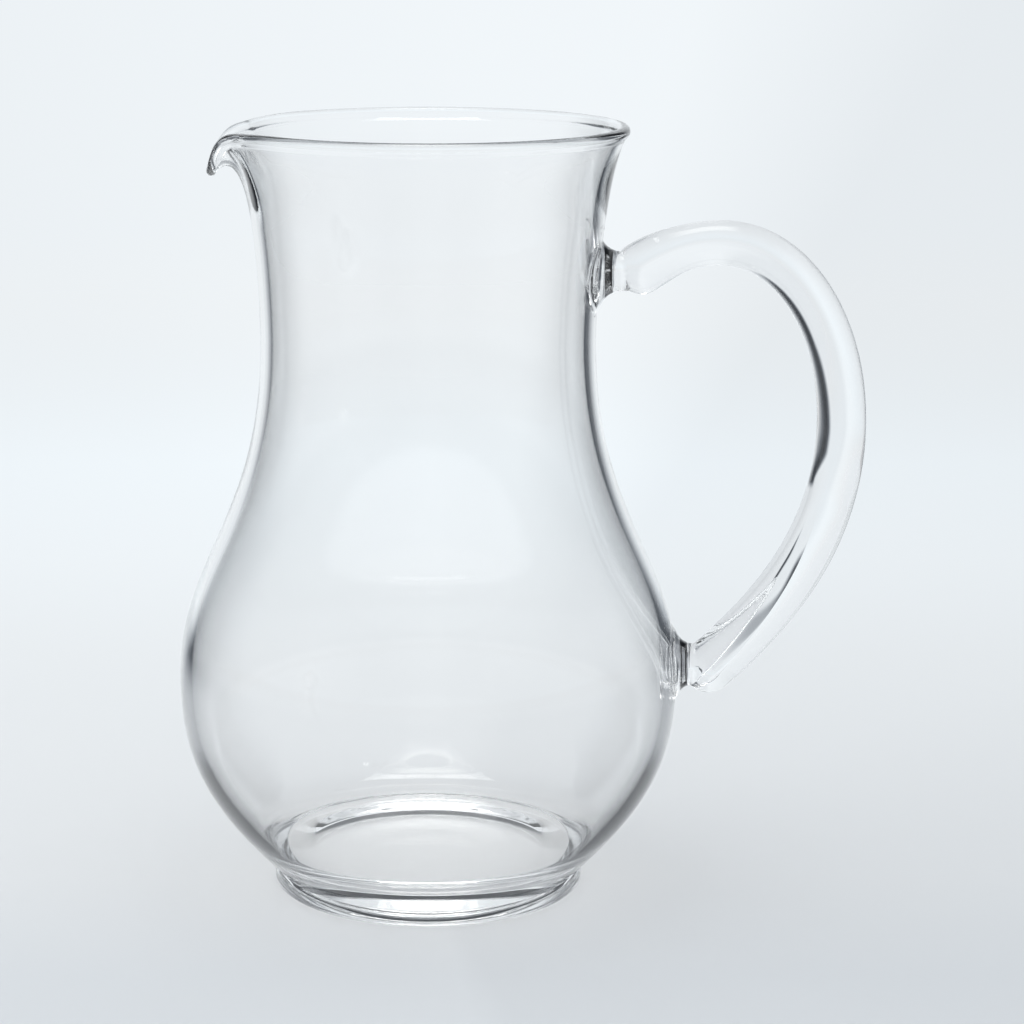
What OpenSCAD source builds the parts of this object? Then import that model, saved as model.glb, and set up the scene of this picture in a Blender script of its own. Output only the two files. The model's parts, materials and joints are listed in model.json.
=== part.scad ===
// Glass carafe with a pulled pouring lip and a welded bar handle, blown in one piece.
// Millimetres. The vessel's axis is Z and it stands on z = 0.
// The lip points to -X and the handle to +X.

/* [Body] */
// height of the rim above the table
height = 217; // [207:1:227]
// outer radius of the belly at its widest
belly_radius = 70.6; // [67:0.1:73]
// height of the belly's widest ring
belly_z = 61.4; // [57:0.1:66]
// outer radius of the neck at its narrowest
neck_radius = 46.7; // [44:0.1:49]
// height of the neck's narrowest ring
neck_z = 157.6; // [153:0.1:161]
// outer radius of the mouth
rim_radius = 55.3; // [53:0.1:58]
// lean of the flare at the mouth, in degrees from upright
rim_lean = 27; // [22:1:32]
// thickness of the blown wall
wall = 3.3; // [2.8:0.1:3.8]
// thickness of the fire-polished rim
rim_bead = 3.4; // [3:0.1:3.8]

/* [Foot] */
// outer radius of the foot ring
foot_radius = 44; // [42:0.1:46]
// height of the groove between the foot ring and the belly
groove_z = 4.6; // [4:0.1:5.6]
// depth of that groove
groove_depth = 1.4; // [1:0.1:1.8]
// rounding of the foot ring's lower edge
foot_round = 2; // [1.4:0.1:2.4]
// inner radius of the resting ring
rest_inner = 37; // [34:0.5:38]
// hollow under the base
hollow = 1.6; // [1:0.1:2]
// height of the floor inside, above the table
floor_z = 12.8; // [12:0.1:13.6]

/* [Pouring lip] */
// how far the lip's tip reaches beyond the rim
lip_reach = 6; // [4.5:0.1:7]
// how far the lip's tip drops below the rim
lip_drop = 11.2; // [9:0.1:12.5]
// half the angle that the whole lip takes of the rim
lip_span = 42; // [38:1:46]
// half the angle of the narrow nose of the lip
nose_span = 24; // [22:0.5:26]

/* [Handle] */
// distance of the bar's middle line from the axis at its furthest
handle_reach = 115.8; // [112.4:0.2:119.2]
// height of that furthest place
handle_z = 133; // [128:0.5:138]
// height of the upper weld
upper_z = 176.3; // [174:0.1:177]
// height of the lower weld
lower_z = 63.6; // [61:0.1:66]
// thickness of the bar in the plane of the loop
bar = 12.1; // [11.3:0.1:13.1]
// thickness of the bar at its lower end
bar_low = 15.1; // [14:0.1:16]
// width of the bar across the loop
bar_width = 13.4; // [12.5:0.1:14.5]

/* [Hidden] */

glass = [0.80, 0.90, 0.92, 0.55];
$fn = 0;

// Curve helpers: points are [radius, z] or [x, y, z]
function mix(a, b, t) = a + (b - a) * t;
function smooth(t) = let(u = max(0, min(1, t))) u * u * (3 - 2 * u);
function unit(v) = v / norm(v);
function bez(p, t) =
    pow(1 - t, 3) * p[0] + 3 * pow(1 - t, 2) * t * p[1]
    + 3 * (1 - t) * t * t * p[2] + pow(t, 3) * p[3];
function bez_dir(p, t) = unit(
    pow(1 - t, 2) * (p[1] - p[0]) + 2 * (1 - t) * t * (p[2] - p[1]) + t * t * (p[3] - p[2]));
function bez_upper(p, t) =
    let(a = mix(p[1], p[2], t), b = mix(p[2], p[3], t), c = mix(mix(p[0], p[1], t), a, t),
        d = mix(a, b, t))
    [mix(c, d, t), d, b, p[3]];
function inward(p, t, d) = let(v = bez_dir(p, t)) bez(p, t) + d * [-v.y, v.x];
function arc(c, r, a0, a1, n) =
    [for (k = [0:n]) let(a = mix(a0, a1, k / n)) c + r * [cos(a), sin(a)]];

// Outside of the body: belly from the groove up, shoulder into the neck, flare to the mouth
rim_half = rim_bead / 2;
groove_radius = foot_radius - groove_depth;
belly_lean = 45;
lower_pull = 29.3;
belly_pull = 24.6;
shoulder_pull = 33.5;
neck_pull = 50.7;
flare_start = 6;
flare_end = 17.1;
belly = [[groove_radius, groove_z],
    [groove_radius, groove_z] + lower_pull * [cos(belly_lean), sin(belly_lean)],
    [belly_radius, belly_z - belly_pull], [belly_radius, belly_z]];
shoulder = [[belly_radius, belly_z], [belly_radius, belly_z + shoulder_pull],
    [neck_radius, neck_z - neck_pull], [neck_radius, neck_z]];
rim_top = [rim_radius, height - rim_half];
flare = [[neck_radius, neck_z], [neck_radius, neck_z + flare_start],
    rim_top - flare_end * [sin(rim_lean), cos(rim_lean)], rim_top];

belly_steps = 22;
shoulder_steps = 30;
flare_steps = 10;

// The turned body ends at seam_z; above it the wall is shaped for the lip
seam_z = neck_z + 32.6;
seam_t = lookup(seam_z, [for (k = [0:200]) [bez(flare, k / 200).y, k / 200]]);
over_t = lookup(seam_z + 2 * wall, [for (k = [0:200]) [bez(flare, k / 200).y, k / 200]]);
function curve(p, n, t1 = 1) = [for (k = [1:n]) bez(p, t1 * k / n)];
function curve_in(p, n, d, t0 = 0, t1 = 1) = [for (k = [0:n]) inward(p, mix(t0, t1, k / n), d)];
wall_line = concat([for (k = [0:60]) bez(belly, k / 60)], curve(shoulder, 60), curve(flare, 60));
function wall_radius(z) = lookup(z, [for (p = wall_line) [p.y, p.x]]);

// Inside of the body: floor, its rounded corner, then the wall's inner face
corner_t = 0.2;
corner = inward(belly, corner_t, wall);
corner_dir = bez_dir(belly, corner_t);
corner_meet = [corner.x - (corner.y - floor_z) * corner_dir.x / corner_dir.y, floor_z];
corner_run = norm(corner - corner_meet);
corner_steps = 5;
floor_corner = [for (k = [0:corner_steps - 1]) let(t = k / corner_steps)
    pow(1 - t, 2) * (corner_meet - [corner_run, 0]) + 2 * t * (1 - t) * corner_meet
    + t * t * corner];

hollow_power = 5;
hollow_steps = 8;
underside = [for (k = [0:hollow_steps]) let(r = rest_inner * k / hollow_steps)
    [r, hollow * (1 - pow(r / rest_inner, hollow_power))]];
edge_steps = 5;
foot = concat(
    arc([foot_radius - foot_round, foot_round], foot_round, -90, 0, edge_steps),
    arc([groove_radius, groove_z - groove_depth], groove_depth, 0, 90, edge_steps));

// Pouring lip: every wall curve runs from the seam to the rim's middle line
flare_top = bez_upper(flare, seam_t);
seam_dir = unit(flare_top[1] - flare_top[0]);
seam_mid = flare_top[0] + wall / 2 * [-seam_dir.y, seam_dir.x];
lower_run = norm(flare_top[1] - flare_top[0]);
upper_run = norm(flare_top[3] - flare_top[2]);
rim_mid = rim_top - [rim_half * cos(rim_lean), 0];
wide_share = 0.2;
wide_drop = 0.16;
nose_out = 0.75;
nose_power = 2.1;
lip_pinch = 0.2;
lip_curl = 112;
lip_throat = 7;
lip_thin = 0.2;
rim_wall = 2.5;
thin_to = 0.8;
bead_from = 0.9;
function wave(a, span) = abs(a) < span ? pow(cos(90 * a / span), 2) : 0;
function wide(a) = wave(a, lip_span);
function nose(a) = wave(a, nose_span);
function around(p, a) = [-p.x * cos(a), -p.x * sin(a), p.y];
function rim_at(a) = rim_mid
    + [lip_reach * mix(pow(nose(a), nose_out), wide(a), wide_share),
       -lip_drop * mix(pow(nose(a), nose_power), wide(a), wide_drop)];
function lean_at(a) = rim_lean + lip_curl * nose(a);
function wall_curve(a) =
    let(b = a * (1 - lip_pinch * wide(a)), e = lean_at(a), p3 = rim_at(a),
        p2 = p3 - mix(upper_run, lip_throat, nose(a)) * [sin(e), cos(e)],
        p1 = seam_mid + (lower_run + lip_throat * nose(a)) * seam_dir)
    [around(seam_mid, a), around(p1, a), around(p2, b), around(p3, b)];

// Stations round the mouth: fine across the lip, wider apart on the plain rim
lip_stations = 38;
rim_stations = 48;
plain = 360 - 2 * lip_span;
stations = concat(
    [for (k = [0:lip_stations - 1])
        let(u = 2 * k / lip_stations - 1) lip_span * (0.6 * u + 0.4 * u * abs(u))],
    [for (k = [0:rim_stations - 1]) lip_span + plain * k / rim_stations]);
count = len(stations);
rows = 11;
sunk_below = 1.2;
sunk_above = 0.8;
first_t = 0.09;
row_power = 1.6;
function row_t(j) = mix(1, first_t, pow(1 - j / rows, row_power));
middle = [for (a = stations) let(c = wall_curve(a)) [for (j = [0:rows]) bez(c, row_t(j))]];
function normal(i, j) = unit(cross(
    middle[(i + 1) % count][j] - middle[(i + count - 1) % count][j],
    middle[i][min(j + 1, rows)] - middle[i][max(j - 1, 0)]));
normals = [for (i = [0:count - 1]) [for (j = [0:rows]) normal(i, j)]];
// The wall thins towards the rim and ends in a round bead
function half_at(a, j) = let(t = row_t(j))
    (mix(wall, rim_wall, smooth(t / thin_to))
        + (rim_bead - rim_wall) * smooth((t - bead_from) / (1 - bead_from))) / 2
    * (1 - lip_thin * nose(a) * smooth(t));

// The band's foot stands a little inside both faces of the turned wall
sink = 0.03;
chord = seam_mid.x * (1 - cos(plain / rim_stations / 2));
function sunk(a, d, side) = around(
    seam_mid + d * seam_dir
    + side * (wall / 2 - sink - (side < 0 ? chord : 0)) * [seam_dir.y, -seam_dir.x], a);
bead_steps = 6;
function bead(i) =
    let(m = middle[i][rows], n = normals[i][rows], h = half_at(stations[i], rows),
        e = unit(middle[i][rows] - middle[i][rows - 1]), t = unit(e - (e * n) * n))
    [for (k = [1:bead_steps - 1]) let(b = 90 - 180 * k / bead_steps)
        m + h * (sin(b) * n + cos(b) * t)];
function band_loop(i) = let(a = stations[i]) concat(
    [sunk(a, -sunk_below, 1), sunk(a, sunk_above, 1)],
    [for (j = [0:rows]) middle[i][j] + half_at(a, j) * normals[i][j]],
    bead(i),
    [for (j = [rows:-1:0]) middle[i][j] - half_at(a, j) * normals[i][j]],
    [sunk(a, sunk_above, -1), sunk(a, -sunk_below, -1)]);

// Handle: middle line in the XZ plane, in two curves that meet at the furthest place
upper_stand = 11.7;
lower_stand = 9.5;
upper_lean = 32.7;
lower_lean = 42.8;
upper_end = [wall_radius(upper_z) + upper_stand, upper_z + 1];
lower_end = [wall_radius(lower_z) + lower_stand, lower_z - 0.55];
rise = 36;
fall = 35;
start_run = 38.8;
finish_run = 20.5;
turn = [handle_reach, handle_z];
loop_up = [upper_end, upper_end + start_run * [cos(upper_lean), sin(upper_lean)],
    turn + [0, rise], turn];
loop_down = [turn, turn - [0, fall],
    lower_end + finish_run * [cos(lower_lean), sin(lower_lean)], lower_end];
up_share = 0.58;
function loop_at(u) = u < up_share ? bez(loop_up, u / up_share)
    : bez(loop_down, (u - up_share) / (1 - up_share));
function loop_dir(u) = u < up_share ? bez_dir(loop_up, u / up_share)
    : bez_dir(loop_down, (u - up_share) / (1 - up_share));

// Section of the bar: round at the grip, pinched to a ridge with flatter sides further down
bulge = 1.35;
bulge_run = 0.055;
ridge_start = -0.5;
ridge_end = 0.3;
ridge_from = 0.58;
ridge_full = 0.68;
pinch_from = 0.64;
pinch_to = 0.76;
inner_slope = 0.42;
inner_power = 5;
outer_slope = 0.23;
outer_power = 3;
ring = 28;
function bar_half(u) = mix(bar, bar_low, u) / 2 + bulge * exp(-pow(u / bulge_run, 2));
function pinch(u) = smooth((u - pinch_from) / (pinch_to - pinch_from));
function ridge_at(u) = smooth((u - ridge_from) / (ridge_full - ridge_from))
    * mix(ridge_start, ridge_end, max(0, (u - ridge_full) / (1 - ridge_full)));
function facet(t, g, slope, power) =
    (1 - slope * g * t) * sqrt(max(0, 1 - pow(t, mix(2, power, g))));
function section(u, scale) =
    let(h = bar_half(u) * scale, g = pinch(u), w = bar_width / 2 * scale * (1 + 0.06 * g),
        c = h * ridge_at(u))
    [for (k = [0:ring - 1]) let(a = 360 * k / ring, t = abs(sin(a)), side = sign(cos(a)))
        a <= 180 ? [w * side * facet(t, g, outer_slope, outer_power), c + (h - c) * t]
        : [w * side * facet(t, g, inner_slope, inner_power), c - (h + c) * t]];
function place(u, along, p) =
    let(c = loop_at(u), d = loop_dir(u), q = c + along * d + p.y * [-d.y, d.x])
    [q.x, p.x, q.y];
cap_steps = 5;
cap_end = 78;
bar_steps = 36;
function cap_ring(u, side, b) =
    [for (p = section(u, cos(b))) place(u, side * bar_half(u) * sin(b), p)];
bar_rings = concat(
    [for (k = [cap_steps:-1:1]) cap_ring(0, -1, cap_end * k / cap_steps)],
    [for (k = [0:bar_steps]) [for (p = section(k / bar_steps, 1)) place(k / bar_steps, 0, p)]],
    [for (k = [1:cap_steps]) cap_ring(1, 1, cap_end * k / cap_steps)]);

// Weld: a short neck that flares on to the wall
upper_round = 6.2;
lower_round = 5;
weld_slope = 60;
weld_steps = 5;
weld_sink = 0.7 * wall;
upper_neck = 5.5;
lower_neck = 5.9;

module foot_and_wall() {
    rotate_extrude()
        polygon(concat(underside, foot, curve(belly, belly_steps),
            curve(shoulder, shoulder_steps), curve(flare, flare_steps, seam_t),
            [[0, seam_z]]));
}

module cavity() {
    rotate_extrude()
        polygon(concat([[0, floor_z]], floor_corner,
            curve_in(belly, belly_steps, wall, corner_t),
            [for (k = [1:shoulder_steps]) inward(shoulder, k / shoulder_steps, wall)],
            [for (k = [1:flare_steps]) inward(flare, over_t * k / flare_steps, wall)],
            [[0, seam_z + 2 * wall]]));
}

module lip_band() {
    n = len(band_loop(0));
    polyhedron(
        points = [for (i = [0:count - 1]) each band_loop(i)],
        faces = [for (i = [0:count - 1], k = [0:n - 1])
            let(a = i * n, b = (i + 1) % count * n, m = (k + 1) % n)
            each [[a + k, a + m, b + m], [a + k, b + m, b + k]]]);
}

module handle_bar() {
    n = len(bar_rings);
    polyhedron(
        points = [for (r = bar_rings) each r],
        faces = concat(
            [[for (k = [0:ring - 1]) k]],
            [[for (k = [ring - 1:-1:0]) (n - 1) * ring + k]],
            [for (i = [0:n - 2], k = [0:ring - 1])
                let(a = i * ring, b = a + ring, m = (k + 1) % ring)
                each [[a + k, b + k, b + m], [a + k, b + m, a + m]]]));
}

module weld(z, neck, round, reach) {
    flare_line = [for (k = [0:weld_steps]) let(b = weld_slope * k / weld_steps)
        [neck + round * (1 - cos(b)), round * (1 - sin(b))]];
    last = flare_line[weld_steps];
    translate([wall_radius(z), 0, z]) rotate([0, 90, 0]) rotate_extrude()
        polygon(concat([[0, reach], [neck, reach]], flare_line,
            [[last.x + (last.y + weld_sink) * tan(weld_slope), -weld_sink], [0, -weld_sink]]));
}

module carafe() {
    color(glass) union() {
        difference() {
            union() {
                foot_and_wall();
                weld(upper_z, upper_neck, upper_round, upper_stand);
                weld(lower_z, lower_neck, lower_round, lower_stand);
                handle_bar();
            }
            cavity();
        }
        lip_band();
    }
}

carafe();
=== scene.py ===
"""Glass carafe with a pulled pouring lip and a welded bar handle, dressed round its CAD part.

The shape classes hold millimetres, as a glass maker's drawing does, and hand over meshes
in metres. The vessel's axis is Z, it stands on z = 0, the lip points to -X and the handle
to +X.
"""

import json
import logging
import math
from collections.abc import Iterable
from dataclasses import dataclass, field
from enum import Enum

import bpy
import numpy as np
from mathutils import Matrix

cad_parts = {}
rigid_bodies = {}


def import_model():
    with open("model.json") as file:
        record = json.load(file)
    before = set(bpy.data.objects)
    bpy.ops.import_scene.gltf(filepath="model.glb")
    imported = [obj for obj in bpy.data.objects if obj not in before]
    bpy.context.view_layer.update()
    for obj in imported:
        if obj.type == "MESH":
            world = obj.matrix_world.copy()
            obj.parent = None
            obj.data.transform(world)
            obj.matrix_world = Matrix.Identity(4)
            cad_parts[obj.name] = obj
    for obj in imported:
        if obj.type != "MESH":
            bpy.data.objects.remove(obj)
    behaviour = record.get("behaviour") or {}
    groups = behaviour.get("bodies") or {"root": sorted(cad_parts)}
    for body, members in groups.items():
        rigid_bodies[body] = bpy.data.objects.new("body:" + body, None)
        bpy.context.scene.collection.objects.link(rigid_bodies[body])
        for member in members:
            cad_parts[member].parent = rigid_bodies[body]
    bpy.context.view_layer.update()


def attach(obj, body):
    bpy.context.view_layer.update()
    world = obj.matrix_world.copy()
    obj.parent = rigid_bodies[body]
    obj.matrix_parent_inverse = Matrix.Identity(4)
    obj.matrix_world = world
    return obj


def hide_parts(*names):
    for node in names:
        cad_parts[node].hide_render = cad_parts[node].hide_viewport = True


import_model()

LOG = logging.getLogger("carafe")
MM = 0.001


def mix(a: np.ndarray | float, b: np.ndarray | float, t: np.ndarray | float) -> np.ndarray | float:
    """Return the blend from a to b at t."""
    return a + (b - a) * t


def smooth(t: np.ndarray | float) -> np.ndarray:
    """Return the smooth step of t, held between 0 and 1."""
    u = np.clip(t, 0.0, 1.0)
    return u * u * (3 - 2 * u)


def unit(v: np.ndarray) -> np.ndarray:
    """Return the vectors along the last axis at length one."""
    return v / np.linalg.norm(v, axis=-1, keepdims=True)


def bezier(points: np.ndarray, t: np.ndarray) -> np.ndarray:
    """Walk along cubic curves.

    Args:
        points: four control points per curve, shaped (..., 4, dimensions).
        t: places along the curve from 0 to 1.

    Returns:
        The points, shaped (..., len(t), dimensions).
    """
    p = np.asarray(points, float)[..., None, :, :]
    t = np.asarray(t, float)[:, None]
    return (
        (1 - t) ** 3 * p[..., 0, :]
        + 3 * (1 - t) ** 2 * t * p[..., 1, :]
        + 3 * (1 - t) * t * t * p[..., 2, :]
        + t**3 * p[..., 3, :]
    )


def bezier_direction(points: np.ndarray, t: np.ndarray) -> np.ndarray:
    """Return the unit tangents of the cubic curves at t."""
    p = np.asarray(points, float)[..., None, :, :]
    t = np.asarray(t, float)[:, None]
    return unit(
        (1 - t) ** 2 * (p[..., 1, :] - p[..., 0, :])
        + 2 * (1 - t) * t * (p[..., 2, :] - p[..., 1, :])
        + t * t * (p[..., 3, :] - p[..., 2, :])
    )


def upper_part(points: np.ndarray, t: float) -> np.ndarray:
    """Return the control points of the stretch of a cubic curve above t."""
    p = np.asarray(points, float)
    a, b = mix(p[1], p[2], t), mix(p[2], p[3], t)
    c = mix(mix(p[0], p[1], t), a, t)
    d = mix(a, b, t)
    return np.array([mix(c, d, t), d, b, p[3]])


def inward(points: np.ndarray, t: np.ndarray, distance: float) -> np.ndarray:
    """Return the places of a profile curve moved towards the axis along its normals."""
    d = bezier_direction(points, t)
    return bezier(points, t) + distance * np.stack([-d[..., 1], d[..., 0]], -1)


def arc(centre: tuple[float, float], radius: float, start: float, end: float, steps: int) -> np.ndarray:
    """Return the points of an arc.

    Args:
        centre: radius and height of the arc's centre.
        radius: radius of the arc.
        start: first angle in degrees.
        end: last angle in degrees.
        steps: number of steps between them.

    Returns:
        The points as rows of radius and height.
    """
    a = np.radians(np.linspace(start, end, steps + 1))
    return np.asarray(centre) + radius * np.stack([np.cos(a), np.sin(a)], -1)


def make_piece(name: str, points: np.ndarray, faces: list[tuple[int, ...]]) -> bpy.types.Object:
    """Link a mesh piece to the scene.

    Args:
        name: the piece's name.
        points: vertices in millimetres.
        faces: vertex indices of each face.

    Returns:
        The new object, in metres.
    """
    mesh = bpy.data.meshes.new(name)
    mesh.from_pydata((points * MM).tolist(), [], faces)
    mesh.validate()
    piece = bpy.data.objects.new(name, mesh)
    bpy.context.scene.collection.objects.link(piece)
    return piece


def skin(rings: np.ndarray, first: np.ndarray, last: np.ndarray) -> tuple[np.ndarray, list]:
    """Close a stack of rings into one skin with a point at each end.

    Args:
        rings: points shaped (rings, points on a ring, 3).
        first: the point before the first ring.
        last: the point after the last ring.

    Returns:
        All the vertices, and the faces as index tuples.
    """
    many, around = rings.shape[:2]
    points = np.vstack([rings.reshape(-1, 3), first, last])
    k = np.arange(around)
    n = (k + 1) % around
    faces: list[tuple[int, ...]] = []
    for r in range(many - 1):
        a, b = r * around, (r + 1) * around
        faces += list(zip(a + k, a + n, b + n, b + k))
    start, end = many * around, many * around + 1
    top = (many - 1) * around
    faces += [(start, int(j), int(i)) for i, j in zip(k, n)]
    faces += [(top + int(i), top + int(j), end) for i, j in zip(k, n)]
    return points, [tuple(int(v) for v in f) for f in faces]


@dataclass(frozen=True)
class Profile:
    """Outline of the turned body: foot, belly, shoulder and flare, with its inner face."""

    height: float = 217
    belly_radius: float = 70.56
    belly_z: float = 61.4
    neck_radius: float = 46.7
    neck_z: float = 157.6
    rim_radius: float = 55.3
    rim_lean: float = 27
    wall: float = 3.3
    rim_bead: float = 3.4
    foot_radius: float = 44
    groove_z: float = 4.6
    groove_depth: float = 1.4
    foot_round: float = 2
    rest_inner: float = 37
    hollow: float = 1.6
    hollow_power: float = 5
    floor_z: float = 12.8
    belly_lean: float = 45
    lower_pull: float = 29.3
    belly_pull: float = 24.6
    shoulder_pull: float = 33.5
    neck_pull: float = 50.7
    flare_start: float = 6
    flare_end: float = 17.1
    corner_t: float = 0.2
    seam_rise: float = 32.6
    under_steps: int = 12
    foot_steps: int = 8
    groove_steps: int = 7
    belly_steps: int = 42
    shoulder_steps: int = 48
    flare_steps: int = 16
    inner_belly_steps: int = 36
    corner_steps: int = 12
    floor_steps: int = 7

    @property
    def groove_radius(self) -> float:
        """Radius at the bottom of the groove above the foot."""
        return self.foot_radius - self.groove_depth

    @property
    def belly(self) -> np.ndarray:
        """Control points of the belly, from the groove to the widest ring."""
        lean = math.radians(self.belly_lean)
        start = np.array([self.groove_radius, self.groove_z])
        return np.array(
            [
                start,
                start + self.lower_pull * np.array([math.cos(lean), math.sin(lean)]),
                [self.belly_radius, self.belly_z - self.belly_pull],
                [self.belly_radius, self.belly_z],
            ]
        )

    @property
    def shoulder(self) -> np.ndarray:
        """Control points of the shoulder, from the belly to the neck."""
        return np.array(
            [
                [self.belly_radius, self.belly_z],
                [self.belly_radius, self.belly_z + self.shoulder_pull],
                [self.neck_radius, self.neck_z - self.neck_pull],
                [self.neck_radius, self.neck_z],
            ]
        )

    @property
    def rim_top(self) -> np.ndarray:
        """Outer end of the wall's outline, just under the rim."""
        return np.array([self.rim_radius, self.height - self.rim_bead / 2])

    @property
    def flare(self) -> np.ndarray:
        """Control points of the flare, from the neck to the rim."""
        lean = math.radians(self.rim_lean)
        pull = self.flare_end * np.array([math.sin(lean), math.cos(lean)])
        return np.array(
            [
                [self.neck_radius, self.neck_z],
                [self.neck_radius, self.neck_z + self.flare_start],
                self.rim_top - pull,
                self.rim_top,
            ]
        )

    @property
    def seam_t(self) -> float:
        """Place on the flare where the lip's own shape starts."""
        t = np.linspace(0, 1, 801)
        return float(np.interp(self.neck_z + self.seam_rise, bezier(self.flare, t)[:, 1], t))

    def wall_radius(self, z: float) -> float:
        """Return the outer radius of the wall at a height."""
        t = np.linspace(0, 1, 241)
        line = np.vstack([bezier(c, t) for c in (self.belly, self.shoulder, self.flare)])
        return float(np.interp(z, line[:, 1], line[:, 0]))

    def outside(self) -> np.ndarray:
        """Return radius and height from the base's hollow to the seam below the lip."""
        r = self.rest_inner * np.linspace(0, 1, self.under_steps + 1)[1:]
        under = np.stack([r, self.hollow * (1 - (r / self.rest_inner) ** self.hollow_power)], -1)
        edge = self.foot_radius - self.foot_round
        foot = arc((edge, self.foot_round), self.foot_round, -90, 0, self.foot_steps)
        middle = (self.groove_radius, self.groove_z - self.groove_depth)
        groove = arc(middle, self.groove_depth, 0, 90, self.groove_steps)
        return np.vstack(
            [
                under,
                foot,
                groove,
                bezier(self.belly, np.linspace(0, 1, self.belly_steps + 1)[1:]),
                bezier(self.shoulder, np.linspace(0, 1, self.shoulder_steps + 1)[1:]),
                bezier(self.flare, self.seam_t * np.linspace(0, 1, self.flare_steps + 1)[1:]),
            ]
        )

    def inside(self) -> np.ndarray:
        """Return radius and height from the seam down the inner face to the floor."""
        corner = inward(self.belly, np.array([self.corner_t]), self.wall)[0]
        along = bezier_direction(self.belly, np.array([self.corner_t]))[0]
        meet = np.array([corner[0] - (corner[1] - self.floor_z) * along[0] / along[1], self.floor_z])
        run = float(np.linalg.norm(corner - meet))
        t = np.linspace(1, 0, self.corner_steps + 1)[1:, None]
        bend = (1 - t) ** 2 * (meet - [run, 0]) + 2 * t * (1 - t) * meet + t * t * corner
        floor_r = (meet[0] - run) * np.linspace(1, 0, self.floor_steps + 1)[1:-1]
        floor = np.stack([floor_r, np.full_like(floor_r, self.floor_z)], -1)
        belly_t = mix(self.corner_t, 1.0, np.linspace(1, 0, self.inner_belly_steps + 1))[1:]
        return np.vstack(
            [
                inward(self.flare, self.seam_t * np.linspace(1, 0, self.flare_steps + 1), self.wall),
                inward(self.shoulder, np.linspace(1, 0, self.shoulder_steps + 1)[1:], self.wall),
                inward(self.belly, belly_t, self.wall),
                bend,
                floor,
            ]
        )


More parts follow.
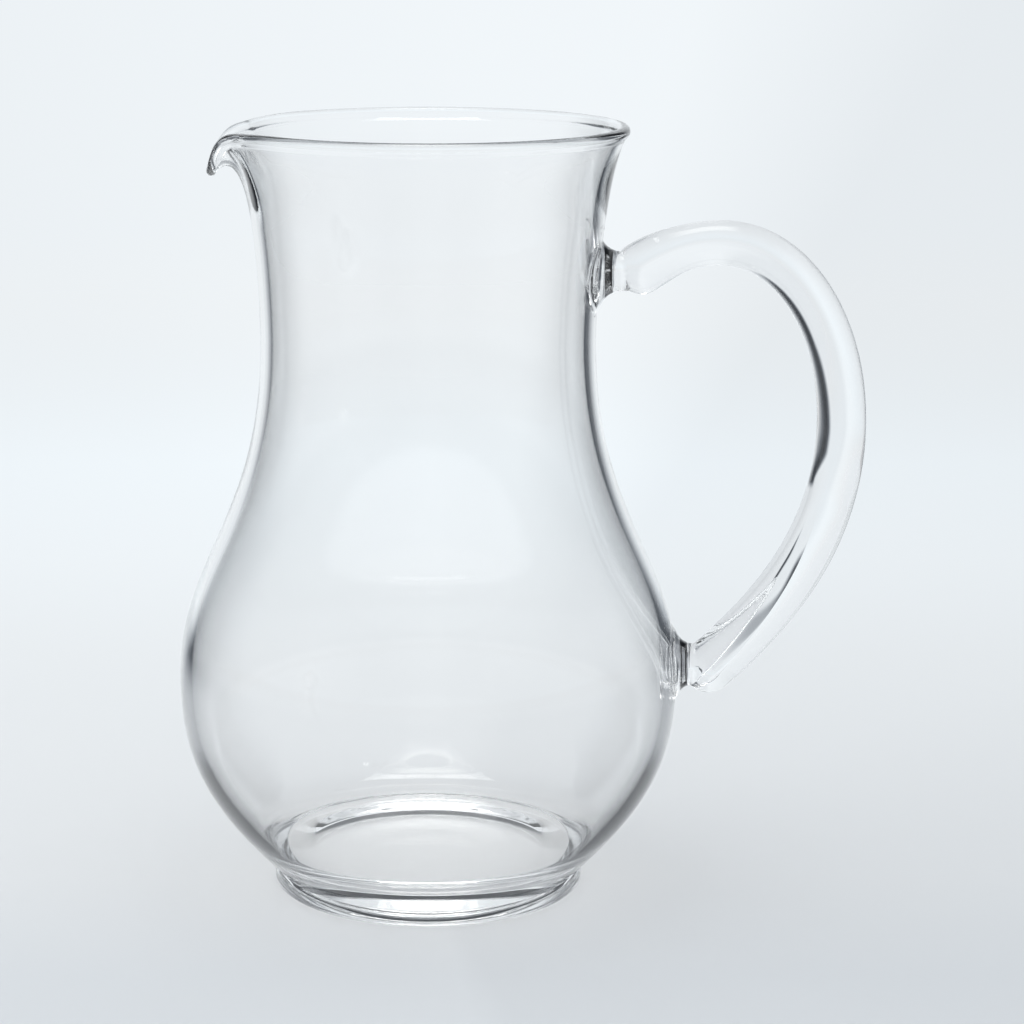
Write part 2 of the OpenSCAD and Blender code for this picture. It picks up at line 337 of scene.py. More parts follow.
@dataclass(frozen=True)
class PouringLip:
    """The mouth's band above the seam, pulled out and curled down over a narrow nose."""

    reach: float = 6
    drop: float = 11.2
    span: float = 42
    nose_span: float = 24
    wide_share: float = 0.2
    wide_drop: float = 0.16
    nose_out: float = 0.75
    nose_power: float = 2.1
    pinch: float = 0.2
    curl: float = 112
    throat: float = 7
    thin: float = 0.2
    rim_wall: float = 2.5
    thin_to: float = 0.8
    bead_from: float = 0.9
    lip_stations: int = 96
    rim_stations: int = 168
    crowding: float = 0.4
    rows: int = 26
    row_power: float = 1.6
    bead_steps: int = 12

    def stations(self) -> np.ndarray:
        """Return the angles round the mouth in degrees, close together at the nose."""
        u = 2 * np.arange(self.lip_stations) / self.lip_stations - 1
        lip = self.span * ((1 - self.crowding) * u + self.crowding * u * np.abs(u))
        plain = 360 - 2 * self.span
        return np.concatenate([lip, self.span + plain * np.arange(self.rim_stations) / self.rim_stations])

    @staticmethod
    def wave(angle: np.ndarray, span: float) -> np.ndarray:
        """Return a smooth hump of height one over plus and minus span."""
        return np.where(np.abs(angle) < span, np.cos(np.radians(90 * angle / span)) ** 2, 0.0)

    @staticmethod
    def around(p: np.ndarray, angle: np.ndarray) -> np.ndarray:
        """Place radius and height at angles from the lip's direction.

        Args:
            p: rows of radius and height, shaped (..., 2).
            angle: degrees, of the same leading shape.

        Returns:
            Points shaped (..., 3).
        """
        a = np.radians(angle)
        return np.stack([-p[..., 0] * np.cos(a), -p[..., 0] * np.sin(a), p[..., 1]], -1)

    def wall_curves(self, profile: Profile, angle: np.ndarray) -> np.ndarray:
        """Shape the wall's middle line from the seam to the rim.

        Args:
            profile: the turned body.
            angle: stations in degrees.

        Returns:
            Control points shaped (stations, 4, 3).
        """
        top = upper_part(profile.flare, profile.seam_t)
        seam_dir = unit(top[1] - top[0])
        seam_mid = top[0] + profile.wall / 2 * np.array([-seam_dir[1], seam_dir[0]])
        lower_run = np.linalg.norm(top[1] - top[0])
        upper_run = np.linalg.norm(top[3] - top[2])
        half = profile.rim_bead / 2
        rim_mid = profile.rim_top - np.array([half * math.cos(math.radians(profile.rim_lean)), 0])
        nose, wide = self.wave(angle, self.nose_span), self.wave(angle, self.span)
        out = self.reach * mix(nose**self.nose_out, wide, self.wide_share)
        down = self.drop * mix(nose**self.nose_power, wide, self.wide_drop)
        rim = rim_mid + np.stack([out, -down], -1)
        lean = np.radians(profile.rim_lean + self.curl * nose)
        pulled = mix(upper_run, self.throat, nose)[:, None] * np.stack([np.sin(lean), np.cos(lean)], -1)
        start = np.broadcast_to(seam_mid, rim.shape)
        rise = start + (lower_run + self.throat * nose)[:, None] * seam_dir
        turned = angle * (1 - self.pinch * wide)
        return np.stack(
            [
                self.around(start, angle),
                self.around(rise, angle),
                self.around(rim - pulled, turned),
                self.around(rim, turned),
            ],
            1,
        )

    def band(self, profile: Profile, angle: np.ndarray) -> np.ndarray:
        """Return the points over the rim, outer face up, bead, inner face down, per station."""
        t = 1 - (1 - np.linspace(0, 1, self.rows + 1)) ** self.row_power
        middle = bezier(self.wall_curves(profile, angle), t)
        round_way = np.roll(middle, -1, 0) - np.roll(middle, 1, 0)
        normals = unit(np.cross(round_way, np.gradient(middle, axis=1)))
        half = mix(profile.wall, self.rim_wall, smooth(t / self.thin_to)) / 2
        half = half + (profile.rim_bead - self.rim_wall) / 2 * smooth((t - self.bead_from) / (1 - self.bead_from))
        half = half * (1 - self.thin * self.wave(angle, self.nose_span)[:, None] * smooth(t))
        offset = half[..., None] * normals
        end, n, h = middle[:, -1], normals[:, -1], half[:, -1, None]
        e = unit(middle[:, -1] - middle[:, -2])
        tip = unit(e - (e * n).sum(-1, keepdims=True) * n)
        b = np.radians(90 - 180 * np.arange(1, self.bead_steps) / self.bead_steps)
        bead = np.stack([end + h * (math.sin(k) * n + math.cos(k) * tip) for k in b], 1)
        return np.concatenate([(middle + offset)[:, 1:], bead, (middle - offset)[:, :0:-1]], 1)


@dataclass(frozen=True)
class BarHandle:
    """The bar bent into a loop, round at the grip and pinched to a ridge below."""

    reach: float = 115.8
    far_z: float = 133
    upper_z: float = 176.3
    lower_z: float = 63.6
    bar: float = 12.1
    bar_low: float = 15.1
    bar_width: float = 13.4
    upper_stand: float = 11.7
    lower_stand: float = 9.5
    upper_lean: float = 32.7
    lower_lean: float = 42.8
    upper_lift: float = 1.0
    lower_lift: float = -0.55
    rise: float = 36
    fall: float = 35
    start_run: float = 38.8
    finish_run: float = 20.5
    up_share: float = 0.58
    bulge: float = 1.35
    bulge_run: float = 0.055
    ridge_start: float = -0.5
    ridge_end: float = 0.3
    ridge_from: float = 0.58
    ridge_full: float = 0.68
    pinch_from: float = 0.64
    pinch_to: float = 0.76
    inner_slope: float = 0.1
    inner_power: float = 6
    outer_slope: float = 0.23
    outer_power: float = 3
    press: float = 0.8
    press_run: float = 1.0
    widen: float = 0.06
    ring: int = 96
    steps: int = 130
    cap_steps: int = 12

    def middle_line(self, profile: Profile, u: np.ndarray) -> tuple[np.ndarray, np.ndarray]:
        """Follow the bar's middle line in the XZ plane.

        Args:
            profile: the turned body, which the bar stands off from.
            u: places from 0 at the upper end to 1 at the lower end.

        Returns:
            The points and the unit directions, as rows of x and z.
        """
        upper = np.array([profile.wall_radius(self.upper_z) + self.upper_stand, self.upper_z + self.upper_lift])
        lower = np.array([profile.wall_radius(self.lower_z) + self.lower_stand, self.lower_z + self.lower_lift])
        turn = np.array([self.reach, self.far_z])
        a, b = math.radians(self.upper_lean), math.radians(self.lower_lean)
        up = np.array(
            [upper, upper + self.start_run * np.array([math.cos(a), math.sin(a)]), turn + [0, self.rise], turn]
        )
        down = np.array(
            [turn, turn - [0, self.fall], lower + self.finish_run * np.array([math.cos(b), math.sin(b)]), lower]
        )
        first = (u < self.up_share)[:, None]
        t_up = np.clip(u / self.up_share, 0, 1)
        t_down = np.clip((u - self.up_share) / (1 - self.up_share), 0, 1)
        place = np.where(first, bezier(up, t_up), bezier(down, t_down))
        way = np.where(first, bezier_direction(up, t_up), bezier_direction(down, t_down))
        return place, way

    def half(self, u: np.ndarray) -> np.ndarray:
        """Return half the bar's thickness in the plane of the loop."""
        return mix(self.bar, self.bar_low, u) / 2 + self.bulge * np.exp(-((u / self.bulge_run) ** 2))

    def sections(self, u: np.ndarray, scale: np.ndarray) -> np.ndarray:
        """Shape the bar's section.

        Args:
            u: places along the bar.
            scale: size of each section against the full one.

        Returns:
            Points shaped (places, ring, 2): across the loop, and away from its inside.
        """
        pinched = smooth((u - self.pinch_from) / (self.pinch_to - self.pinch_from))[:, None]
        h = (self.half(u) * scale)[:, None]
        w = (self.bar_width / 2 * scale)[:, None] * (1 + self.widen * pinched)
        along = np.maximum(0, (u - self.ridge_full) / (1 - self.ridge_full))
        shift = smooth((u - self.ridge_from) / (self.ridge_full - self.ridge_from))
        c = h * (shift * mix(self.ridge_start, self.ridge_end, along))[:, None]
        a = 2 * np.pi * np.arange(self.ring) / self.ring
        t, side = np.sin(a) ** 2, np.sign(np.cos(a))

        def facet(slope: float, power: float, pressed: np.ndarray | float = 0.0) -> np.ndarray:
            """Return the half width at depth t, an ellipse at the grip and a facet where it is pinched."""
            flat = w * (1 - slope * pinched * t) - pressed * pinched
            return side * flat * np.sqrt(1 - np.minimum(t ** mix(2, power, pinched), 1))

        pressed = self.press * (1 - np.exp(-(h + c) * t / self.press_run))
        outer = np.stack([facet(self.outer_slope, self.outer_power), c + (h - c) * t], -1)
        inner = np.stack([facet(self.inner_slope, self.inner_power, pressed), c - (h + c) * t], -1)
        return np.where((np.sin(a) >= 0)[None, :, None], outer, inner)

    def mesh(self, profile: Profile) -> tuple[np.ndarray, list]:
        """Return the vertices and faces of the bar with its rounded ends."""
        cap = np.radians(90 * np.arange(1, self.cap_steps) / self.cap_steps)
        body = np.linspace(0, 1, self.steps + 1)
        u = np.concatenate([np.zeros(len(cap)), body, np.ones(len(cap))])
        turn = np.concatenate([-cap[::-1], np.zeros(len(body)), cap])
        scale, along = np.cos(turn), np.sin(turn) * self.half(u)
        place, way = self.middle_line(profile, u)
        section = self.sections(u, scale)
        out = np.stack([-way[:, 1], way[:, 0]], -1)
        xz = (place + along[:, None] * way)[:, None] + section[..., 1:] * out[:, None]
        rings = np.stack([xz[..., 0], section[..., 0], xz[..., 1]], -1)
        ends = [place[k] + s * self.half(u[k : k + 1])[0] * way[k] for k, s in ((0, -1), (-1 % len(u), 1))]
        first, last = (np.array([e[0], 0.0, e[1]]) for e in ends)
        return skin(rings, first, last)


@dataclass(frozen=True)
class Weld:
    """A short neck of glass that flares on to the wall under an end of the bar."""

    z: float
    neck: float
    round: float
    reach: float
    slope: float = 60
    sink_share: float = 0.7
    cap_share: float = 0.5
    steps: int = 10
    ring: int = 72

    def mesh(self, profile: Profile) -> tuple[np.ndarray, list]:
        """Return the vertices and faces of the weld, standing on the wall along +X."""
        sink = self.sink_share * profile.wall
        b = np.radians(np.linspace(0, self.slope, self.steps + 1))
        flare = np.stack([self.neck + self.round * (1 - np.cos(b)), self.round * (1 - np.sin(b))], -1)
        foot = flare[-1, 0] + (flare[-1, 1] + sink) * math.tan(b[-1])
        top_end = [[self.neck * self.cap_share, self.reach], [self.neck, self.reach]]
        line = np.vstack([top_end, flare, [foot, -sink], [foot * self.cap_share, -sink]])
        a = 2 * np.pi * np.arange(self.ring) / self.ring
        x = profile.wall_radius(self.z) + line[:, 1, None] + 0 * a
        rings = np.stack([x, line[:, 0, None] * np.cos(a), self.z + line[:, 0, None] * np.sin(a)], -1)
        top = np.array([profile.wall_radius(self.z) + self.reach, 0, self.z])
        base = np.array([profile.wall_radius(self.z) - sink, 0, self.z])
        return skin(rings[:, ::-1], top, base)


class Solver(Enum):
    """Ways of fusing two closed meshes, best first."""

    MANIFOLD = "MANIFOLD"
    EXACT = "EXACT"


@dataclass
class Carafe:
    """The whole piece of glass: body with lip, two welds and the bar, fused into one skin."""

    profile: Profile = field(default_factory=Profile)
    lip: PouringLip = field(default_factory=PouringLip)
    handle: BarHandle = field(default_factory=BarHandle)
    upper_neck: float = 5.5
    upper_round: float = 6.2
    lower_neck: float = 5.9
    lower_round: float = 5
    crease: float = 32

    def body_mesh(self) -> tuple[np.ndarray, list]:
        """Return the vertices and faces of the body, inside and outside, with its lip."""
        angle = self.lip.stations()

        def turned(line: np.ndarray) -> np.ndarray:
            """Return a profile line placed at every station."""
            p = np.broadcast_to(line, (len(angle), *line.shape))
            return self.lip.around(p, np.broadcast_to(angle[:, None], p.shape[:2]))

        rows = np.concatenate(
            [turned(self.profile.outside()), self.lip.band(self.profile, angle), turned(self.profile.inside())], 1
        )
        under = np.array([0, 0, self.profile.hollow])
        floor = np.array([0, 0, self.profile.floor_z])
        return skin(rows.transpose(1, 0, 2), under, floor)

    def welds(self) -> list[Weld]:
        """Return the upper and the lower weld."""
        h = self.handle
        return [
            Weld(h.upper_z, self.upper_neck, self.upper_round, h.upper_stand),
            Weld(h.lower_z, self.lower_neck, self.lower_round, h.lower_stand),
        ]

    def build(self) -> bpy.types.Object:
        """Fuse the parts and return the piece with smooth shading."""
        piece = make_piece("carafe_glass", *self.body_mesh())
        LOG.info("body: %d faces", len(piece.data.polygons))
        extras = [make_piece(f"weld_{i}", *w.mesh(self.profile)) for i, w in enumerate(self.welds())]
        extras.append(make_piece("bar", *self.handle.mesh(self.profile)))
        for extra in extras:
            piece = fuse(piece, extra)
            LOG.info("fused %s: %d faces", extra.name, len(piece.data.polygons))
            bpy.data.objects.remove(extra)
        piece.data.shade_smooth()
        piece.data.set_sharp_from_angle(angle=math.radians(self.crease))
        return piece


def fuse(piece: bpy.types.Object, extra: bpy.types.Object) -> bpy.types.Object:
    """Join a closed mesh to the piece.

    Args:
        piece: the piece that grows.
        extra: the mesh that is added, which stays as it is.

    Returns:
        The piece, with the fused mesh.
    """
    for solver in Solver:
        step = piece.modifiers.new("fuse", "BOOLEAN")
        step.operation, step.solver, step.object = "UNION", solver.value, extra
        dg = bpy.context.evaluated_depsgraph_get()
        mesh = bpy.data.meshes.new_from_object(piece.evaluated_get(dg))
        piece.modifiers.remove(step)
        if len(mesh.polygons) > len(piece.data.polygons):
            piece.data = mesh
            return piece
        LOG.warning("solver %s left %s out", solver.value, extra.name)
    return piece


def add_node(tree: bpy.types.NodeTree, kind: str, **values: object) -> bpy.types.Node:
    """Add a shader node and set its properties.

    Args:
        tree: the node tree.
        kind: the node's type name.
        values: properties of the node, or sockets by name where the node has no such property.

    Returns:
        The node.
    """
    node = tree.nodes.new(kind)
    for key, value in values.items():
        if hasattr(node, key):
            setattr(node, key, value)
        else:
            node.inputs[key.replace("_", " ")].default_value = value
    return node


@dataclass(frozen=True)
class ClearGlass:
    """Clear soda glass with the faint waves that blowing leaves."""

    name: str = "clear_glass"
    colour: tuple[float, float, float, float] = (0.998, 0.998, 0.997, 1)
    shadow: tuple[float, float, float, float] = (0.94, 0.94, 0.94, 1)
    ior: float = 1.51
    wave_scale: float = 38
    wave_detail: float = 1.0
    wave_depth: float = 0.00004

    def build(self) -> bpy.types.Material:
        """Return the material."""
        material = bpy.data.materials.new(self.name)
        material.use_nodes = True
        tree = material.node_tree
        tree.nodes.clear()
        out = add_node(tree, "ShaderNodeOutputMaterial")
        glass = add_node(tree, "ShaderNodeBsdfPrincipled")
        glass.inputs["Base Color"].default_value = self.colour
        glass.inputs["IOR"].default_value = self.ior
        glass.inputs["Transmission Weight"].default_value = 1
        glass.inputs["Roughness"].default_value = 0
        places = add_node(tree, "ShaderNodeTexCoord")
        waves = add_node(tree, "ShaderNodeTexNoise", Scale=self.wave_scale, Detail=self.wave_detail)
        bump = add_node(tree, "ShaderNodeBump", Strength=1.0, Distance=self.wave_depth)
        tree.links.new(places.outputs["Object"], waves.inputs["Vector"])
        tree.links.new(waves.outputs["Fac"], bump.inputs["Height"])
        tree.links.new(bump.outputs["Normal"], glass.inputs["Normal"])
        path = add_node(tree, "ShaderNodeLightPath")
        clear = add_node(tree, "ShaderNodeBsdfTransparent")
        clear.inputs["Color"].default_value = self.shadow
        blend = add_node(tree, "ShaderNodeMixShader")
        tree.links.new(path.outputs["Is Shadow Ray"], blend.inputs["Fac"])
        tree.links.new(glass.outputs["BSDF"], blend.inputs[1])
        tree.links.new(clear.outputs["BSDF"], blend.inputs[2])
        tree.links.new(blend.outputs["Shader"], out.inputs["Surface"])
        return material


class Wiring:
    """Short ways to lay down the nodes of one tree."""

    def __init__(self, tree: bpy.types.NodeTree) -> None:
        """Keep the tree that the nodes go into."""
        self.tree = tree

    def link(self, source: object, target: bpy.types.NodeSocket) -> None:
        """Link a socket to an input, or set the input to a plain value."""
        if isinstance(source, bpy.types.NodeSocket):
            self.tree.links.new(source, target)
        else:
            target.default_value = source

    def number(self, operation: str, *values: object) -> bpy.types.NodeSocket:
        """Calculate with numbers.

        Args:
            operation: the name of the Math node's operation.
            values: sockets or numbers.

        Returns:
            The socket of the result.
        """
        node = add_node(self.tree, "ShaderNodeMath", operation=operation)
        for value, target in zip(values, node.inputs):
            self.link(value, target)
        return node.outputs[0]

    def rise(
        self,
        value: bpy.types.NodeSocket,
        start: float,
        end: float,
        low: float = 0.0,
        high: float = 1.0,
        soft: bool = True,
    ) -> bpy.types.NodeSocket:
        """Go from one level to another.

        Args:
            value: the socket that is followed.
            start: where the change starts.
            end: where it ends.
            low: level before the start.
            high: level after the end.
            soft: whether the change eases in and out.

        Returns:
            The socket of the level.
        """
        kind = "SMOOTHSTEP" if soft else "LINEAR"
        node = add_node(self.tree, "ShaderNodeMapRange", interpolation_type=kind)
        for source, target in zip((value, start, end, low, high), node.inputs):
            self.link(source, target)
        return node.outputs[0]

    def blend(self, share: object, first: object, second: object) -> bpy.types.NodeSocket:
        """Return the mix of two numbers by the share of the second."""
        node = add_node(self.tree, "ShaderNodeMix", data_type="FLOAT")
        for source, target in zip((share, first, second), (node.inputs[0], node.inputs[2], node.inputs[3])):
            self.link(source, target)
        return node.outputs[0]

    def tones(self, value: bpy.types.NodeSocket, stops: Iterable[tuple[float, object]]) -> bpy.types.NodeSocket:
        """Read a level or a colour from a row of stops.

        Args:
            value: the socket that is followed.
            stops: pairs of place, from 0 to 1, and level or colour.

        Returns:
            The socket of the level or the colour.
        """
        node = add_node(self.tree, "ShaderNodeValToRGB")
        stops = list(stops)
        points = node.color_ramp.elements
        while len(points) < len(stops):
            points.new(0.5)
        for point, (place, tone) in zip(points, stops):
            colour = tone if isinstance(tone, tuple) else (tone, tone, tone)
            point.position, point.color = place, (*colour, 1)
        self.link(value, node.inputs[0])
        return node.outputs[0]

    def length(self, vector: bpy.types.NodeSocket) -> bpy.types.NodeSocket:
        """Return the socket of a vector's length."""
        node = add_node(self.tree, "ShaderNodeVectorMath", operation="LENGTH")
        self.link(vector, node.inputs[0])
        return node.outputs["Value"]

    def parts(self, vector: bpy.types.NodeSocket) -> tuple[bpy.types.NodeSocket, ...]:
        """Return the sockets of a vector's three parts."""
        node = add_node(self.tree, "ShaderNodeSeparateXYZ")
        self.link(vector, node.inputs[0])
        return node.outputs[0], node.outputs[1], node.outputs[2]

    def shaded(
        self, colour: object, share: bpy.types.NodeSocket, fall: tuple[float, float, float]
    ) -> bpy.types.NodeSocket:
        """Make a colour darker, with its own fall for red, green and blue.

        Args:
            colour: the socket or the plain value of the colour.
            share: the level it is darkened to.
            fall: the power of the level in each of the three parts.

        Returns:
            The socket of the darker colour.
        """
        levels = add_node(self.tree, "ShaderNodeCombineXYZ")
        for power, target in zip(fall, levels.inputs):
            self.link(self.number("POWER", share, power), target)
        node = add_node(self.tree, "ShaderNodeVectorMath", operation="MULTIPLY")
        self.link(colour, node.inputs[0])
        self.link(levels.outputs[0], node.inputs[1])
        return node.outputs[0]


@dataclass(frozen=True)
class Studio:
    """Pale floor and surround, a soft lamp, painted dark reflections for the glass edges, and the camera.

    Clear glass shows its form only by what it mirrors. The floor and the world are pale
    where the eye meets them straight or through a thin wall, under painted shade towards the
    right. What the glass mirrors, and what the solid bar gathers from the side, is painted
    darker in the floor's and the world's colours, as painted dark reflections in place of the
    black flags that a photographer sets up.
    """

    # Camera, light and floor, in metres and degrees, with the air gap in millimetres
    lens: float = 110
    sensor: float = 36
    camera_place: tuple[float, float, float] = (0, -0.862, 0.2972)
    pitch: float = 12.385
    shift: float = 0.0818
    clip: tuple[float, float] = (0.01, 200)
    bounces: int = 40
    lamp_size: float = 0.8
    lamp_power: float = 5.5
    lamp_place: tuple[float, float, float] = (0, 0.05, 1.3)
    floor_half: float = 30
    glow_reach: tuple[float, float] = (0.35, 1.2)
    air_gap: float = 0.1

    # Tone of the room, the floor's painted light by its depth, darker at the front and brighter far off, and how
    # each part of a colour darkens under painted shade
    room_tone: tuple[float, float, float] = (0.882, 0.925, 0.955)
    painted_light_floor_tones: tuple[tuple[float, tuple[float, float, float]], ...] = (
        (-0.2, (0.7, 0.71, 0.722)),
        (-0.08, (0.715, 0.728, 0.742)),
        (0.0, (0.775, 0.78, 0.784)),
        (0.1, (0.802, 0.806, 0.808)),
        (0.25, (0.835, 0.84, 0.84)),
        (0.4, (0.875, 0.888, 0.892)),
        (0.6, (0.9, 0.93, 0.945)),
        (1.5, (0.882, 0.925, 0.955)),
    )
    shade_fall: tuple[float, float, float] = (1.03, 1.0, 0.95)

    # Painted shade from left to right, darker to the sides and most to the right, with a painted shadow right of
    # the object, under the base, near the object and far off
    base_level: float = 0.95
    near_levels: tuple[float, float] = (0.92, 0.84)
    side_levels: tuple[tuple[float, float], ...] = (
        (-1, 0.92), (-0.5, 0.92), (-0.2, 0.95), (0.02, 1.0), (0.1, 1.0), (0.2, 0.9), (0.7, 0.89), (1, 0.82),
    )
    near_reach: tuple[float, float] = (0.02, 0.075)
    far_reach: tuple[float, float] = (0.2, 0.7)
    far_least: float = 0.35

    # Painted dark reflections and a painted overhead highlight that only the glass mirrors, by degrees from the
    # back, and a painted dark ring round the base
    painted_dark_middle: float = -4
    painted_dark_stops: tuple[tuple[float, float], ...] = (
        (0, 1.0), (28, 1.0), (38, 0.1), (58, 0.14), (80, 0.9), (120, 1.0), (150, 0.82), (180, 0.8),
    )
    painted_dark_reach: tuple[float, float] = (0.16, 0.45)
    painted_dark_top: tuple[float, float] = (0.35, 0.75)
    painted_softbox_from: float = 0.5
    painted_softbox_gain: float = 4.2
    painted_softbox_edge: tuple[float, float] = (0.14, 0.32)
    base_stops: tuple[tuple[float, float], ...] = (
        (0, 0.8), (0.042, 0.7), (0.05, 0.05), (0.112, 0.05), (0.15, 0.35), (0.25, 0.5), (0.4, 0.5), (0.6, 1.0),
    )

    # Painted dark seen through the bar, far off, then as a strip and as a spot nearer to the object
    side_stops: tuple[tuple[float, float], ...] = (
        (0, 1.0), (32, 1.0), (37, 0.12), (41, 0.03), (47, 0.05), (54, 0.2), (60, 0.45), (74, 1.0), (180, 1.0),
    )
    side_from: tuple[float, float] = (0.4, 0.58)
    side_turn: float = 18
    strip_stops: tuple[tuple[float, float], ...] = (
        (0, 1.0), (25.5, 1.0), (28.5, 0.05), (32, 0.05), (35, 1.0), (180, 1.0),
    )
    strip_from: tuple[float, float] = (0.3, 0.325)
    strip_to: tuple[float, float] = (0.37, 0.41)
    near_stops: tuple[tuple[float, float], ...] = (
        (0, 1.0), (14, 1.0), (18, 0.5), (24, 0.45), (28.5, 0.05), (32, 0.05), (35, 1.0), (180, 1.0),
    )
    near_to: tuple[float, float] = (0.34, 0.36)
    bar_slope: float = 0.04
    bar_least: float = 0.045
    bar_edge: float = 0.006

    def camera(self) -> None:
        """Set up the camera at the photograph's angle."""
        data = bpy.data.cameras.new("camera")
        data.lens, data.sensor_width, data.shift_x = self.lens, self.sensor, self.shift
        data.clip_start, data.clip_end = self.clip
        camera = bpy.data.objects.new("camera", data)
        camera.location = self.camera_place
        camera.rotation_euler = (math.radians(90 - self.pitch), 0, 0)
        bpy.context.scene.collection.objects.link(camera)
        bpy.context.scene.camera = camera

    def painted_room(self) -> bpy.types.NodeTree:
        """Return the node group of the room's painted light and shade in a direction.

        Its outputs are the painted shade, darker towards the right, the painted reflections that the
        glass mirrors, and the painted dark behind a solid bar of glass.
        """
        tree = bpy.data.node_groups.new("room_brightness", "ShaderNodeTree")
        tree.interface.new_socket("Place", in_out="INPUT", socket_type="NodeSocketVector")
        tree.interface.new_socket("Distance", in_out="INPUT", socket_type="NodeSocketFloat")
        for name in ("PaintedShade", "Mirrored", "Behind"):
            tree.interface.new_socket(name, in_out="OUTPUT", socket_type="NodeSocketFloat")
        start, end = add_node(tree, "NodeGroupInput"), add_node(tree, "NodeGroupOutput")
        wire = Wiring(tree)
        flat = add_node(tree, "ShaderNodeVectorMath", operation="NORMALIZE")
        wire.link(start.outputs[0], flat.inputs[0])
        way, distance = wire.parts(flat.outputs[0]), start.outputs[1]
        turn = wire.number("ARCTAN2", way[0], way[1])
        low = wire.rise(way[2], *self.painted_dark_top, 1.0, 0.0)
        levels = (
            self.painted_shade_level(wire, way[0], distance),
            self.mirrored_level(wire, way, turn, distance, low),
            self.behind_level(wire, turn, distance, low),
        )
        for source, target in zip(levels, end.inputs):
            wire.link(source, target)
        return tree

    def painted_shade_level(
        self, wire: Wiring, across: bpy.types.NodeSocket, distance: bpy.types.NodeSocket
    ) -> bpy.types.NodeSocket:
        """Work out the painted shade, darker to the sides and most to the right, with a painted shadow right of the
        object.

        Args:
            wire: the wiring of the node group.
            across: how far to the side the direction goes, from -1 to 1.
            distance: how far the place is from the object.

        Returns:
            The socket of the level.
        """
        # Painted shade: darker to the sides and most to the right, with a painted shadow right of the object
        far = wire.tones(wire.rise(across, -1, 1, soft=False), [((a + 1) / 2, v) for a, v in self.side_levels])
        near = wire.rise(across, -1, 1, *self.near_levels, soft=False)
        around = wire.blend(wire.rise(distance, *self.far_reach, self.far_least), near, far)
        return wire.blend(wire.rise(distance, *self.near_reach), self.base_level, around)

    def mirrored_level(
        self,
        wire: Wiring,
        way: tuple[bpy.types.NodeSocket, ...],
        turn: bpy.types.NodeSocket,
        distance: bpy.types.NodeSocket,
        low: bpy.types.NodeSocket,
    ) -> bpy.types.NodeSocket:
        """Work out the level that the glass mirrors, with painted dark reflections and a painted overhead
        highlight.

        Args:
            wire: the wiring of the node group.
            way: the three parts of the direction.
            turn: the compass angle of the direction.
            distance: how far the place is from the object.
            low: how far the direction is from straight up, from 0 to 1.

        Returns:
            The socket of the level.
        """
        # Painted dark reflections, low down round the object, that only the glass mirrors
        shifted = wire.number("ABSOLUTE", wire.number("SUBTRACT", turn, math.radians(self.painted_dark_middle)))
        painted_dark = wire.tones(wire.number("DIVIDE", shifted, math.pi), [(a / 180, v) for a, v in self.painted_dark_stops])
        shown = wire.number("MULTIPLY", wire.rise(distance, *self.painted_dark_reach), low)
        x, y = (wire.number("ABSOLUTE", part) for part in way[:2])
        # Painted highlight overhead, that only the glass mirrors, in place of the lamp's reflection
        beside = wire.number("DIVIDE", wire.number("MAXIMUM", x, y), way[2])
        painted_softbox = wire.rise(beside, *self.painted_softbox_edge, self.painted_softbox_gain, 1.0)
        above = wire.number("GREATER_THAN", way[2], self.painted_softbox_from)
        return wire.blend(above, wire.blend(shown, 1.0, painted_dark), painted_softbox)

    def behind_level(
        self,
        wire: Wiring,
        turn: bpy.types.NodeSocket,
        distance: bpy.types.NodeSocket,
        low: bpy.types.NodeSocket,
    ) -> bpy.types.NodeSocket:
        """Work out the level that is seen through the solid bar, painted dark towards the right.

        Args:
            wire: the wiring of the node group.
            turn: the compass angle of the direction.
            distance: how far the place is from the object.
            low: how far the direction is from straight up, from 0 to 1.

        Returns:
            The socket of the level.
        """
        # Painted dark seen through the bar, towards the right
        right = wire.number("DIVIDE", wire.number("MAXIMUM", turn, 0.0), math.pi)
        turned = wire.rise(distance, *self.side_from, self.side_turn / 180, 0.0)
        near, strip = (wire.tones(right, [(a / 180, v) for a, v in s]) for s in (self.near_stops, self.strip_stops))
        strip = wire.blend(wire.rise(distance, *self.near_to), near, strip)
        side = wire.tones(wire.number("SUBTRACT", right, turned), [(a / 180, v) for a, v in self.side_stops])
        beside = wire.number("MULTIPLY", wire.rise(distance, *self.strip_from), low)
        return wire.blend(beside, 1.0, wire.blend(wire.rise(distance, *self.strip_to), strip, side))

    def level(
        self,
        wire: Wiring,
        painted_room: bpy.types.NodeTree,
        place: bpy.types.NodeSocket,
        distance: object,
        base: object,
        beside: object,
    ) -> bpy.types.NodeSocket:
        """Work out the painted light and shade for the kind of ray that arrives.

        Args:
            wire: the wiring of the floor's or the world's tree.
            painted_room: the room's node group.
            place: the place on the floor, or the direction in the room.
            distance: how far it is from the object.
            base: the painted dark ring round the base, which is mirrored inside the glass.
            beside: whether the ray can come from the handle, from 0 to 1.

        Returns:
            The socket of the level.
        """
        room = add_node(wire.tree, "ShaderNodeGroup", node_tree=painted_room)
        wire.link(place, room.inputs[0])
        wire.link(distance, room.inputs[1])
        path = add_node(wire.tree, "ShaderNodeLightPath")
        glossy, through = path.outputs["Glossy Depth"], path.outputs["Transmission Depth"]
        bounced = wire.number("GREATER_THAN", glossy, 0.5)
        inside = wire.number("GREATER_THAN", through, 0.5)
        bar = wire.number("MULTIPLY", wire.number("COMPARE", through, 2.0, 0.5), beside)
        mirrored = wire.number("MULTIPLY", room.outputs["Mirrored"], wire.blend(inside, 1.0, base))
        straight = wire.blend(bar, 1.0, room.outputs["Behind"])
        return wire.number("MULTIPLY", room.outputs["PaintedShade"], wire.blend(bounced, straight, mirrored))

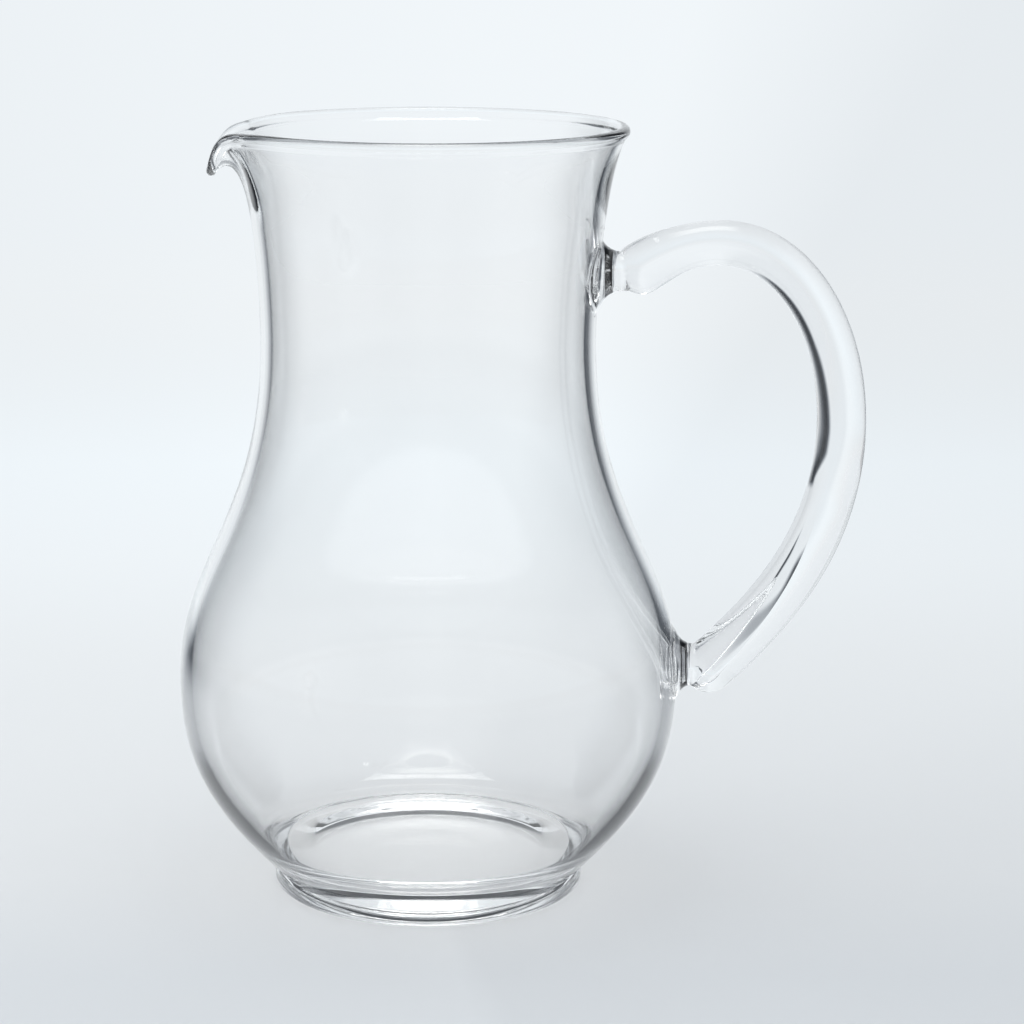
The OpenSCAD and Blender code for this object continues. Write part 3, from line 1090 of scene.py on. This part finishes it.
    def floor(self, painted_room: bpy.types.NodeTree) -> None:
        """Lay the pale floor, which turns into a glow far off; its colour carries painted light by its depth,
        painted shade and painted dark reflections.
        """
        h, z = self.floor_half / MM, -self.air_gap
        piece = make_piece("floor", np.array([[-h, -h, z], [h, -h, z], [h, h, z], [-h, h, z]]), [(0, 1, 2, 3)])
        material = bpy.data.materials.new("pale_floor")
        material.use_nodes = True
        tree = material.node_tree
        tree.nodes.clear()
        wire = Wiring(tree)
        place = add_node(tree, "ShaderNodeTexCoord").outputs["Object"]
        far = wire.length(place)
        start, end = self.painted_light_floor_tones[0][0], self.painted_light_floor_tones[-1][0]
        # Painted light: the floor is darker at the front and brighter far off
        depth = wire.rise(wire.parts(place)[1], start, end, soft=False)
        tone = wire.tones(depth, [((y - start) / (end - start), c) for y, c in self.painted_light_floor_tones])
        # Painted dark ring round the base, mirrored inside the glass
        base = wire.tones(far, self.base_stops)
        path = add_node(tree, "ShaderNodeLightPath")
        nearer = wire.number("SUBTRACT", far, path.outputs["Ray Length"])
        least = wire.number("MINIMUM", wire.number("MULTIPLY", far, self.bar_slope), self.bar_least)
        beside = wire.rise(wire.number("SUBTRACT", nearer, least), 0, self.bar_edge)
        level = self.level(wire, painted_room, place, far, base, beside)
        seen = wire.shaded(tone, level, self.shade_fall)
        paint = add_node(tree, "ShaderNodeBsdfDiffuse")
        glow = add_node(tree, "ShaderNodeEmission")
        wire.link(seen, paint.inputs["Color"])
        wire.link(seen, glow.inputs["Color"])
        blend = add_node(tree, "ShaderNodeMixShader")
        wire.link(wire.rise(far, *self.glow_reach), blend.inputs["Fac"])
        wire.link(paint.outputs[0], blend.inputs[1])
        wire.link(glow.outputs[0], blend.inputs[2])
        wire.link(blend.outputs[0], add_node(tree, "ShaderNodeOutputMaterial").inputs["Surface"])
        piece.data.materials.append(material)

    def room(self, painted_room: bpy.types.NodeTree) -> None:
        """Set the world round the table, with painted shade and painted dark reflections in its colour."""
        world = bpy.data.worlds.new("room")
        bpy.context.scene.world = world
        world.use_nodes = True
        tree = world.node_tree
        tree.nodes.clear()
        wire = Wiring(tree)
        direction = add_node(tree, "ShaderNodeTexCoord").outputs["Generated"]
        level = self.level(wire, painted_room, direction, self.floor_half, 1.0, 1.0)
        glow = add_node(tree, "ShaderNodeBackground")
        wire.link(wire.shaded(self.room_tone, level, self.shade_fall), glow.inputs["Color"])
        wire.link(glow.outputs[0], add_node(tree, "ShaderNodeOutputWorld").inputs["Surface"])

    def lamps(self) -> None:
        """Hang the soft lamp."""
        data = bpy.data.lights.new("softbox_top", "AREA")
        data.shape, data.size, data.energy = "SQUARE", self.lamp_size, self.lamp_power
        lamp = bpy.data.objects.new("softbox_top", data)
        lamp.location = self.lamp_place
        # The lamp is hidden from glossy rays, so the glass mirrors the painted highlight overhead instead
        lamp.visible_camera = lamp.visible_glossy = False
        bpy.context.scene.collection.objects.link(lamp)

    def build(self) -> None:
        """Set up everything round the object."""
        painted_room = self.painted_room()
        self.camera()
        self.floor(painted_room)
        self.room(painted_room)
        self.lamps()
        scene = bpy.context.scene
        scene.view_settings.view_transform = "Standard"
        scene.cycles.max_bounces = self.bounces
        scene.cycles.glossy_bounces = scene.cycles.transmission_bounces = self.bounces


def main() -> None:
    """Build the studio and the carafe, and report each."""
    logging.basicConfig(level=logging.INFO, format="%(name)s %(message)s")
    Studio().build()
    LOG.info("studio set up")
    piece = Carafe().build()
    piece.data.materials.clear()
    piece.data.materials.append(ClearGlass().build())
    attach(piece, "root")
    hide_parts("carafe")
    LOG.info("carafe: %d faces", len(piece.data.polygons))


if __name__ == "__main__":
    main()
